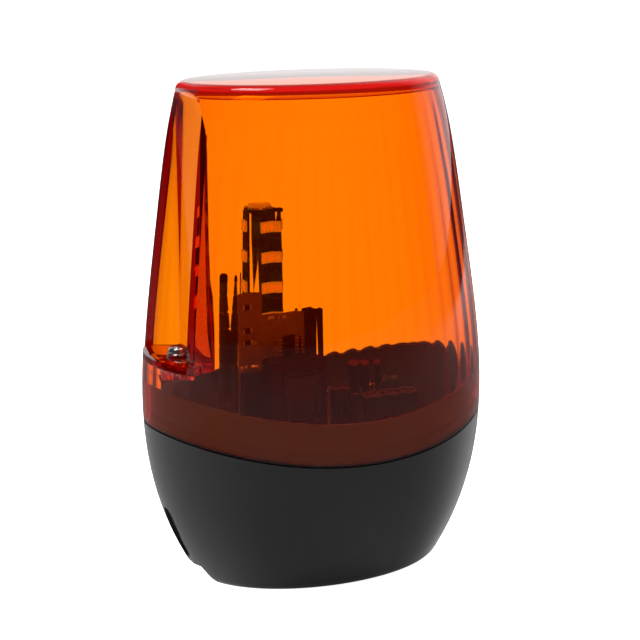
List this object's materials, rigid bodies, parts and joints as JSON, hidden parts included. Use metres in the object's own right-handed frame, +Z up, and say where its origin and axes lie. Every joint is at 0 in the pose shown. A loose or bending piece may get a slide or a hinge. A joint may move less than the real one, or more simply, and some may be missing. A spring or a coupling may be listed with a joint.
{
  "type": "barricade warning light",
  "caption": "Amber LED warning light: oval tapered lens with a screw pocket in one end, over a dark bowl-shaped base with a side cable entry.",
  "frame": {"origin": "on the mounting surface, under the middle of the oval", "axes": "+Z up out of the mounting surface, X along the oval's long axis with the screw pocket and the cable entry at -X, -Y the front"},
  "size_m": [0.1226, 0.0944, 0.17],
  "materials": {
    "base_plastic": "satin moulded",
    "amber_lens": "clear amber plastic",
    "seal_rubber": "matte",
    "screw_steel": "zinc plated",
    "circuit_board": "solder mask",
    "driver_laminate": "bare laminate",
    "led_white": "white body with phosphor",
    "black_plastic": "moulded",
    "green_plastic": "moulded",
    "cage_metal": "nickel plated",
    "sleeve_foil": "shrink sleeve",
    "wire_copper": "bare wire",
    "blue_coating": "dipped coating",
    "post_plastic": "moulded"
  },
  "bodies": {
    "base": {"base_housing": "base_plastic", "lens_seal": "seal_rubber", "cable_grommet": "seal_rubber", "main_board": "circuit_board", "board_screws": "screw_steel", "led_board_front": "circuit_board", "led_board_left": "circuit_board", "led_board_right": "circuit_board", "led_board_top": "circuit_board", "leds_front": "led_white", "leds_left": "led_white", "leds_right": "led_white", "leds_top": "led_white", "driver_board": "driver_laminate", "driver_header": "black_plastic", "board_guide": "black_plastic", "terminal_block": "green_plastic", "transformer": "black_plastic", "capacitor": "sleeve_foil", "rectifier": "black_plastic", "fuse": "black_plastic", "varistor": "blue_coating", "aerial_post": "post_plastic", "aerial_cap": "black_plastic", "aerial_wire": "wire_copper"},
    "lens_cover": {"lens": "amber_lens"},
    "washer": {"screw_washer": "screw_steel"},
    "screw": {"lens_screw": "screw_steel"},
    "clamp_screw_1": {"terminal_screw_1": "screw_steel"},
    "cage_1": {"terminal_cage_1": "cage_metal"},
    "clamp_screw_2": {"terminal_screw_2": "screw_steel"},
    "cage_2": {"terminal_cage_2": "cage_metal"},
    "clamp_screw_3": {"terminal_screw_3": "screw_steel"},
    "cage_3": {"terminal_cage_3": "cage_metal"},
    "clamp_screw_4": {"terminal_screw_4": "screw_steel"},
    "cage_4": {"terminal_cage_4": "cage_metal"}
  },
  "joints": [
    {"name": "lens_lift", "type": "slide", "parent": "base", "child": "lens_cover", "axis": [0, 0, 1], "range_m": [0, 0.09]},
    {"name": "screw_rise", "type": "slide", "parent": "lens_cover", "child": "washer", "axis": [0, 0, 1], "range_m": [0, 0.013]},
    {"name": "screw_turn", "type": "hinge", "parent": "washer", "child": "screw", "pos_m": [-0.0505, 0, 0.0815], "axis": [0, 0, 1], "range_deg": [0, 3343]},
    {"name": "clamp_turn_1", "type": "hinge", "parent": "base", "child": "clamp_screw_1", "pos_m": [0.0085, -0.0238, 0.062], "axis": [0, 0, 1], "range_deg": [-1440.2, 0]},
    {"name": "cage_rise_1", "type": "slide", "parent": "base", "child": "cage_1", "axis": [0, 0, 1], "range_m": [0, 0.0018]},
    {"name": "clamp_turn_2", "type": "hinge", "parent": "base", "child": "clamp_screw_2", "pos_m": [0.0135, -0.0238, 0.062], "axis": [0, 0, 1], "range_deg": [-1440.2, 0]},
    {"name": "cage_rise_2", "type": "slide", "parent": "base", "child": "cage_2", "axis": [0, 0, 1], "range_m": [0, 0.0018]},
    {"name": "clamp_turn_3", "type": "hinge", "parent": "base", "child": "clamp_screw_3", "pos_m": [0.0185, -0.0238, 0.062], "axis": [0, 0, 1], "range_deg": [-1440.2, 0]},
    {"name": "cage_rise_3", "type": "slide", "parent": "base", "child": "cage_3", "axis": [0, 0, 1], "range_m": [0, 0.0018]},
    {"name": "clamp_turn_4", "type": "hinge", "parent": "base", "child": "clamp_screw_4", "pos_m": [0.0235, -0.0238, 0.062], "axis": [0, 0, 1], "range_deg": [-1440.2, 0]},
    {"name": "cage_rise_4", "type": "slide", "parent": "base", "child": "cage_4", "axis": [0, 0, 1], "range_m": [0, 0.0018]}
  ],
  "couplings": [
    {"joint": "screw_turn", "follows": "screw_rise", "rad_per_m": 4488},
    {"joint": "clamp_turn_1", "follows": "cage_rise_1", "rad_per_m": -13963},
    {"joint": "clamp_turn_2", "follows": "cage_rise_2", "rad_per_m": -13963},
    {"joint": "clamp_turn_3", "follows": "cage_rise_3", "rad_per_m": -13963},
    {"joint": "clamp_turn_4", "follows": "cage_rise_4", "rad_per_m": -13963}
  ]
}
